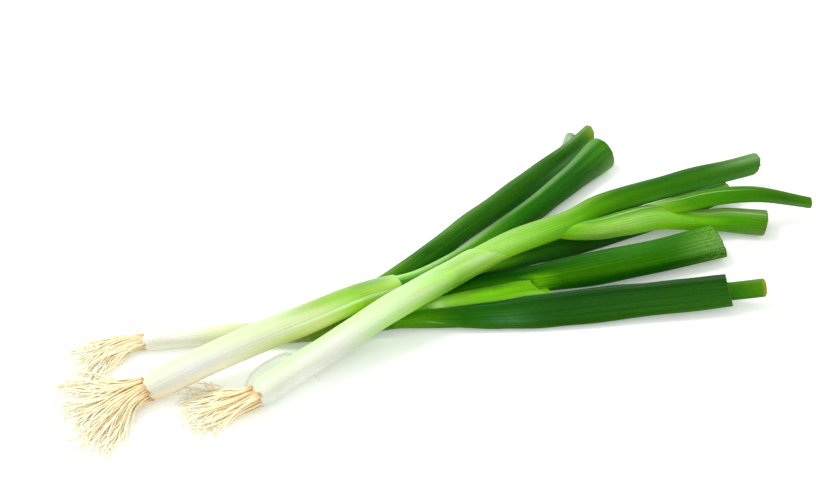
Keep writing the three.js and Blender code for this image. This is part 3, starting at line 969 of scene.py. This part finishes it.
MIDDLE_INNER = Stalk(
    Route((
        (-25, -2, 12.8), (-4.5, -1.5, 9.8), (23.5, 5.5, 8.6),
        (45.5, 14.5, 7.2), (75, 27, 6.2), (112.4, 44.2, 6.4),
    )),
    width=(0.8, 0.82, 0.82, 0.84, 0.88, 0.96, 1.24),
    thickness=(0.78, 0.78, 0.74, 0.7, 0.67, 0.69, 0.82),
    roll=28, slant=-1, lean=2, seed=22,
)
MIDDLE_OUTER = Stalk(
    Route((
        (-29.5, -0.5, 12), (-11, 7, 7.8), (10, 16.2, 6), (32, 25.8, 5.2),
        (56, 35.2, 4.8), (95, 51.5, 4.6), (114.2, 61.3, 5),
    )),
    width=(0.58, 0.8, 0.82, 0.88, 0.9, 0.78, 0.54),
    thickness=(0.48, 0.6, 0.58, 0.64, 0.66, 0.62, 0.5),
    roll=20, slant=-1, lean=1, waves=0.18, seed=23,
)
MIDDLE_BACK = Stalk(
    Route(((93.5, 54, 3), (100, 58.2, 3.2), (105.8, 63.8, 3.4))),
    width=(0.3, 0.36, 0.42),
    thickness=(0.3, 0.36, 0.42), ribs=18, rib_height=0.03, waves=0.06, seed=24,
)
BACK_INNER = Stalk(
    Route(((84, -50.5, 6.8), (109, -58.5, 8), (121.5, -63, 8.6), (136.5, -67.5, 9))),
    width=(0.58, 0.62, 0.64, 0.66),
    thickness=(0.34, 0.38, 0.42, 0.48),
    roll=30, lean=0.5, ribs=18, rib_height=0.03, waves=0.06, seed=32,
)
BACK_SHEATH = Stalk(
    Route((
        (-22, -15, 5), (-8, -14.5, 7.2), (4, -17.6, 9), (13.5, -20.2, 9.6),
        (25.5, -22.9, 9.9), (36, -24.6, 9.8), (44.5, -27.3, 9.3),
    )),
    width=(0.52, 0.48, 0.5, 0.55, 0.59, 0.61, 0.56),
    thickness=(0.45, 0.44, 0.42, 0.44, 0.46, 0.45, 0.4), lean=-3.7,
    roll=20, slant=3.7, ribs=24, rib_height=0.03, waves=0.1, seed=33,
)
BACK_SECOND = Stalk(
    Route((
        (1.2, -11.2, 7.4), (15.3, -13.4, 7.9), (40, -18.8, 8),
        (75.7, -25.1, 7.8), (104.2, -29.1, 7.6), (133.2, -32.2, 7.8),
    )),
    width=(0.72, 0.94, 0.99, 1.19, 1.22, 1.23, 1.23),
    thickness=(0.6, 0.72, 0.69, 0.73, 0.7, 0.68, 0.74), lean=-0.35,
    roll=25, slant=1.2, ribs=32, seed=34,
)
BACK_OUTER = Stalk(
    Route((
        (-23.5, -14.5, 4.7), (-9.5, -18.8, 4.6), (3.2, -23.8, 4.7), (21.8, -30.8, 4.8),
        (32.3, -34.3, 5), (65, -44.5, 6.2), (121.5, -62, 8.2),
    )),
    size=16, width=(0.45, 0.57, 0.77, 0.95, 1.03, 1, 0.97, 0.96),
    thickness=(0.43, 0.46, 0.46, 0.45, 0.44, 0.43, 0.45, 0.48), lean=-0.5,
    roll=26, slant=0.4, ribs=36, rib_height=0.06, seed=35,
    dents=(Dent(0.34, 40, 3, 50, 0.35),),
)
STRAY_ROOT = Route((
    (-100, -31.5, 4), (-98.5, -24, 1.2), (-92.5, -16, 0.8), (-82, -11, 0.8),
    (-73.5, -10, 0.8), (-69.5, -15, 0.8), (-66, -32, 0.8),
))

WHITE_SKIN = dict(
    edge_width=0.3, hollow="b8d880", painted_sheen="f4f6ee",
    contrast=0.06, grain=0.05, vein=0.02, gloss=0.08, glow=0.3,
)
DARK_SKIN = dict(
    edge="3f6a1c", hollow="4f8a26", painted_sheen="8fb08a", painted_sheen_strength=0.1, grain=0.16, gloss=0.05, glow=0.04,
)
STEM_END = OpenEnd(wall=0.15, ragged=0.1, hug=1.03)

FRONT_ONION = (
    Blade("fine_front_upper_leaf", FRONT_UPPER, StalkFinish(
        Slot.NECK_LEAF,
        # the crest row pales at the cut end with painted sheen
        crest=((0.07, "90c05c"), (0.38, "6ca02c"), (0.53, "306400"),
               (0.68, "185800"), (0.84, "285c10"), (0.99, "608848")),
        top=((0.11, "9cd05c"), (0.26, "78bc30"), (0.4, "509800"),
             (0.55, "387400"), (0.7, "2c6804"), (0.99, "386c14")),
        under=((0.14, "84cc14"), (0.42, "549804"), (0.56, "408810"),
               (0.71, "4c9824"), (0.85, "40901c"), (0.99, "507838")),
        contrast=0.12, vein=0.04, edge="5a7a2a", edge_width=0.3, hollow="5f9a30",
    ), marks=(
        # a painted sheen along the top near the cut end
        Mark(0.97, 96, 12, 18, "a8c894", 0.25, streak=0.5),
        Mark(0.985, 20, 5, 40, "4a8a20", 0.5),
    )),
    Blade("fine_front_inner_leaf", FRONT_INNER, StalkFinish(
        Slot.YOUNG_LEAF,
        crest=((0.16, "78a448"), (0.3, "407808"), (0.43, "387400"), (0.98, "386800")),
        top=((0.21, "609410"), (0.34, "3c7c00"), (0.47, "347800"), (0.85, "286000"), (0.98, "387400")),
        under=((0.25, "70b408"), (0.37, "4c9400"), (0.49, "408400"),
               (0.74, "407414"), (0.86, "507440"), (0.98, "5c7840")),
        contrast=0.15,
    ), sides=80, marks=(
        # a painted highlight line along the top
        Mark(0.40, 108, 22, 4, "b4d880", 0.45, sharp=2),
    )),
    Blade("fine_front_middle_leaf", FRONT_MIDDLE, StalkFinish(
        Slot.PALE_LEAF,
        crest=((0.1, "88c034"), (0.2, "589818"), (0.43, "4c8020"), (0.57, "487808"),
               (0.71, "80b03c"), (0.85, "80b050"), (0.99, "60843c")),
        top=((0.09, "60a814"), (0.24, "90c04c"), (0.39, "90c454"),
             (0.69, "6cb80c"), (0.84, "449000"), (0.99, "407804")),
        under=((0.08, "78b818"), (0.23, "70a838"), (0.38, "88d028"), (0.54, "88d410"),
               (0.69, "68b800"), (0.84, "488810"), (0.99, "54782c")),
        contrast=0.14, glow=0.15, edge="6a6a28", edge_width=0.4, hollow="6aa03c",
    ), foot=0.6, foot_length=14, marks=(
        # a painted highlight line along the top; further on, a green streak and a second painted
        # highlight line above it
        Mark(0.36, 112, 20, 4, "c4e8a0", 0.5, sharp=2),
        Mark(0.82, 78, 26, 7, "3f8a06", 0.5, streak=0.4, sharp=2),
        Mark(0.80, 98, 30, 4, "b4dc88", 0.45, streak=0.3, sharp=2),
    )),
    Blade("fine_front_outer_leaf", FRONT_OUTER, StalkFinish(
        Slot.DARK_LEAF,
        # dark where it lies under the other leaves, light green at the cut end: its own dark green with
        # painted shade, and painted light at the end
        crest=((0.1, "509010"), (0.3, "1c5810"), (0.9, "307410"), (0.96, "60a828"), (1, "90c84c")),
        top=((0.1, "58a014"), (0.21, "307010"), (0.42, "1c5804"),
             (0.88, "307410"), (0.95, "68a828"), (1, "90c84c")),
        under=((0.04, "509808"), (0.18, "185808"), (0.45, "1c4810"), (0.9, "307410"), (0.97, "7cb83c")),
        **DARK_SKIN,
    )),
    Blade("fine_front_shank", FRONT_STEM, StalkFinish(
        Slot.STEM,
        crest=((0.01, "c0ccb0"), (0.49, "b8f098"), (0.65, "b4e098"), (0.81, "a0c474"), (0.97, "a0d06c")),
        top=((0.02, "d4d8c4"), (0.34, "d8dccc"), (0.5, "cce8b0"),
             (0.66, "c0d898"), (0.82, "94d04c"), (0.98, "98d854")),
        under=((0.01, "d0d4c8"), (0.17, "d8dcd0"), (0.34, "c4c8bc"), (0.5, "a4c878"),
               (0.66, "8cc448"), (0.83, "488804"), (0.99, "94c83c")),
        edge="a4d868", **WHITE_SKIN,
    ), end=STEM_END, sides=128, foot=0.66, foot_length=7, marks=(
        Mark(0.95, 48, 9, 14, "dcecb4", 0.6, streak=0.2),
        Mark(0.86, 62, 14, 10, "d4f0a0", 0.35, streak=0.3),
    )),
    RootTuft("fine_front_roots", FRONT_STEM, 158, 50, (24, 38), 120, 41, bend=14, stray=STRAY_ROOT),
)

MIDDLE_ONION = (
    Blade("fine_middle_inner_leaf", MIDDLE_INNER, StalkFinish(
        Slot.NECK_LEAF,
        # the pale crest row is a painted highlight band along the upper edge
        crest=((0.07, "98cc68"), (0.53, "387014"), (0.68, "54843c"), (0.84, "548040"), (0.99, "4c8028")),
        top=((0.44, "387804"), (0.58, "1c6000"), (0.86, "20580c"), (1, "387414")),
        under=((0.61, "286004"), (0.8, "2c6818"), (0.9, "4c7438"), (0.99, "689848")),
        painted_sheen="a8cfae", painted_sheen_strength=0.1, contrast=0.25, glow=0.08, edge="5a4a1c", hollow="4f8a26",
        top_to_crest=(0.4, 1.0),
    ), marks=(
        Mark(0.93, 60, 3, 8, "2f5a18", 0.6),
    )),
    Blade("fine_middle_outer_leaf", MIDDLE_OUTER, StalkFinish(
        Slot.DARK_LEAF,
        crest=((0.09, "508010"), (0.24, "28580c"), (0.39, "407020"), (0.83, "285814"), (0.98, "5c8048")),
        top=((0.14, "286004"), (0.84, "205008"), (0.98, "306810")),
        under=((0.28, "146000"), (0.4, "2c6414"), (0.62, "186004"),
               (0.74, "447c34"), (0.85, "74b068"), (0.97, "448018")),
        **DARK_SKIN,
    ), marks=(
        Mark(1.0, 60, 5, 60, "86a83c", 0.7),
        # a dark spot of painted shade where the leaf kinks
        Mark(0.255, 96, 5, 12, "123c04", 0.6),
    )),
    Blade("fine_middle_back_leaf", MIDDLE_BACK, StalkFinish(
        Slot.DARK_LEAF,
        crest=((0.56, "8ca884"), (0.74, "8ca484")),
        top=((0.56, "8ca884"), (0.76, "9cb894"), (0.96, "7c9864")),
        under=((0.56, "588c50"), (0.76, "609858"), (0.96, "487c38")),
        **DARK_SKIN,
    ), sides=64),
    Blade("fine_middle_shank", MIDDLE_STEM, StalkFinish(
        Slot.STEM,
        crest=((0.02, "c8d0b4"), (0.5, "bcd49c"), (0.66, "8ca458"), (0.82, "709c48"), (0.98, "88b464")),
        top=((0.02, "ccccb8"), (0.18, "d4d4cc"), (0.65, "c8d898"), (0.81, "94c840"), (0.97, "b8e05c")),
        under=((0.02, "d8c8a8"), (0.29, "ececd4"), (0.55, "c0cc70"), (0.69, "e0e08c"), (0.82, "b8d41c")),
        edge="c4e69a", **WHITE_SKIN,
    ), end=STEM_END, sides=128, foot=0.66, foot_length=7, marks=(
        Mark(0.745, 92, 15, 34, "8cc62c", 0.6, streak=0.3),
        Mark(0.77, 37, 32, 7, "dcf2ae", 0.7, sharp=2),
        Mark(0.985, 80, 5, 45, "b8e870", 0.7, streak=0.3),
        Mark(0.25, -34, 30, 30, "e4dcb4", 0.25),
    )),
    RootTuft("fine_middle_roots", MIDDLE_STEM, 171, 82, (26, 46), 190, 42, bend=22),
)

BACK_ONION = (
    Blade("fine_back_inner_leaf", BACK_INNER, StalkFinish(
        Slot.YOUNG_LEAF,
        crest=((0.72, "306404"), (0.99, "507c18")),
        top=((0.72, "246000"), (1, "488408")),
        under=((0.73, "245800"), (0.99, "3c7008")),
        edge="8a8a22", edge_width=2.0, hollow="8c9a34",
    ), end=OpenEnd(wall=1.2), sides=80),
    Blade("fine_back_sheath", BACK_SHEATH, StalkFinish(
        Slot.SHEATH,
        # the crest row darkens in its middle with the painted shadow of the front onion's neck
        crest=((0.33, "88d020"), (0.44, "80c810"), (0.55, "509004"), (0.66, "347000"), (0.98, "60a004")),
        top=((0.19, "58a00c"), (0.32, "94d048"), (0.45, "80c028"),
             (0.58, "68b010"), (0.72, "64ac04"), (0.98, "5ca000")),
        under=((0.36, "78b83c"), (0.67, "78c824"), (0.88, "90e434"), (0.98, "a0f450")),
        edge="68b00c", edge_width=0.2, hollow="5aa00a", contrast=0.1, vein=0.04, glow=0.15,
    ), end=OpenEnd(wall=0.15, ragged=0.05), sides=96, marks=(
        Mark(0.30, 44, 3, 34, "bce48c", 0.75),
        Mark(0.92, -14, 14, 16, "b8dc9c", 0.7),
    )),
    Blade("fine_back_second_leaf", BACK_SECOND, StalkFinish(
        Slot.DARK_LEAF,
        # the crest row's dark start is painted shadow of the front onion's neck
        crest=((0.11, "105000"), (0.26, "083c00"), (0.7, "2c6814"), (0.84, "286010"), (0.99, "488010")),
        top=((0.1, "286400"), (0.27, "246000"), (0.33, "549808"),
             (0.41, "306800"), (0.84, "286404"), (1, "4c801c")),
        # the under row darkens from its middle on with painted shade on the underside
        under=((0.28, "7cc41c"), (0.34, "70b808"), (0.37, "3c8004"), (0.41, "186000"),
               (0.48, "0c5000"), (0.79, "0c4400"), (1, "346c00")),
        top_to_crest=(0.0, 0.6), specks=0.3, **(DARK_SKIN | dict(painted_sheen_strength=0.03, gloss=0.02)),
    ), end=OpenEnd(ragged=0.1), marks=(
        Mark(0.985, -10, 5, 30, "4a6a1c", 0.7),
        Mark(0.95, 80, 12, 30, "7aa860", 0.4, streak=0.7),
    )),
    Blade("fine_back_outer_leaf", BACK_OUTER, StalkFinish(
        Slot.DARK_LEAF,
        crest=((0.09, "408800"), (0.24, "145000"), (0.54, "043800"), (0.99, "103c04")),
        top=((0.04, "509000"), (0.2, "185800"), (0.51, "18480c"), (0.99, "20500c")),
        under=((0.03, "488004"), (0.19, "2c6008"), (0.51, "184800"), (0.99, "285c0c")),
        **DARK_SKIN,
    ), sides=128, marks=(
        # a bluish painted sheen on the bulge by the kink
        Mark(0.345, 62, 9, 26, "4a7c4c", 0.45, streak=0.5),
        # painted shade and, beside it, a painted highlight along a small fold in the lower edge
        Mark(0.385, -10, 6, 5, "0e3804", 0.7),
        Mark(0.375, -2, 4, 4, "6aa050", 0.4),
        Mark(0.118, 47, 5, 5, "86b45a", 0.5, skew=-2),
    )),
    Blade("fine_back_shank", BACK_STEM, StalkFinish(
        Slot.STEM,
        crest=((0, "e4e0d0"), (0.15, "e0e0cc"), (0.42, "b0c46c"), (0.7, "88a82c"), (1, "407c08")),
        top=((0, "d4d0c4"), (0.15, "d8d8cc"), (0.3, "ccd0a4"),
             (0.5, "8ca83c"), (0.7, "608c10"), (1, "407c04")),
        under=((0, "dce0c8"), (0.16, "e0d8c8"), (0.4, "b4bc80"),
               (0.6, "688414"), (0.85, "407000"), (1, "387000")),
        edge="3f7c04", **WHITE_SKIN,
    ), end=OpenEnd(wall=0.3, ragged=0.0, hug=0.84, hug_length=14), foot=0.66, foot_length=5),
    RootTuft("fine_back_roots", BACK_STEM, 160, 42, (24, 40), 90, 43, bend=55, thick=1.05),
)


@dataclass(frozen=True)
class Studio:
    """A plain pale floor, soft light from above and behind, and the camera."""

    aim: Point = (0.0015, 0.0308, 0.0)      # the point of the floor at the picture's centre
    azimuth: float = -24.0                  # degrees
    elevation: float = 45.0
    distance: float = 1.0543
    lens: float = 100.0                     # mm
    sensor: float = 36.0
    daylight: float = 0.9                   # strength of the white surroundings
    floor_half: float = 3.0                 # m

    def build(self) -> None:
        """Sets up camera, light and floor."""
        self.place_camera()
        self.place_light("key_light", (-0.55, 0.6, 1.1), 0.6, 14.0)
        self.place_light("fill_light", (-0.5, -0.9, 1.2), 1.6, 4.0)
        self.place_world()
        self.place_floor()
        bpy.context.scene.view_settings.view_transform = "Standard"

    def place_camera(self) -> None:
        """Stands the camera back from its aim, at its azimuth and elevation."""
        turn = math.radians(self.azimuth)
        rise = math.radians(self.elevation)
        back = Vector((math.sin(turn) * math.cos(rise), -math.cos(turn) * math.cos(rise), math.sin(rise)))
        camera = bpy.data.objects.new("camera", bpy.data.cameras.new("camera"))
        camera.data.lens = self.lens
        camera.data.sensor_width = self.sensor
        camera.data.clip_start = 0.05
        camera.location = Vector(self.aim) + back * self.distance
        camera.rotation_euler = back.to_track_quat("Z", "Y").to_euler()
        bpy.context.scene.collection.objects.link(camera)
        bpy.context.scene.camera = camera

    def place_light(self, name: str, place: Point, size: float, power: float) -> None:
        """Hangs a square soft light, of a size in metres and a power in watts, facing the bunch."""
        data = bpy.data.lights.new(name, "AREA")
        data.size = size
        data.energy = power
        light = bpy.data.objects.new(name, data)
        light.location = place
        light.rotation_euler = Vector(place).to_track_quat("Z", "Y").to_euler()
        bpy.context.scene.collection.objects.link(light)

    def place_world(self) -> None:
        """Surrounds the scene with even white light."""
        world = bpy.data.worlds.new("studio")
        world.use_nodes = True
        background = world.node_tree.nodes["Background"]
        background.inputs["Color"].default_value = (1.0, 1.0, 1.0, 1.0)
        background.inputs["Strength"].default_value = self.daylight
        bpy.context.scene.world = world

    def place_floor(self) -> None:
        """Lays a plain pale floor, level with the surface that the bunch lies on."""
        half = self.floor_half
        mesh = bpy.data.meshes.new("floor")
        corners = [(x * half, y * half, 0) for x, y in ((-1, -1), (1, -1), (1, 1), (-1, 1))]
        mesh.from_pydata(corners, [], [(0, 1, 2, 3)])
        floor = bpy.data.objects.new("floor", mesh)
        bpy.context.scene.collection.objects.link(floor)
        _, shader = new_material(mesh)
        shader.inputs["Base Color"].default_value = (0.9, 0.91, 0.9, 1.0)
        shader.inputs["Roughness"].default_value = 0.6
        shader.inputs["Emission Color"].default_value = (0.92, 1.0, 0.91, 1.0)
        shader.inputs["Emission Strength"].default_value = 0.2


def main() -> None:
    """Builds the studio and the three onions."""
    logging.basicConfig(level=logging.INFO, format="%(message)s")
    Studio().build()
    for piece in FRONT_ONION + MIDDLE_ONION + BACK_ONION:
        piece.build()


if __name__ == "__main__":
    main()
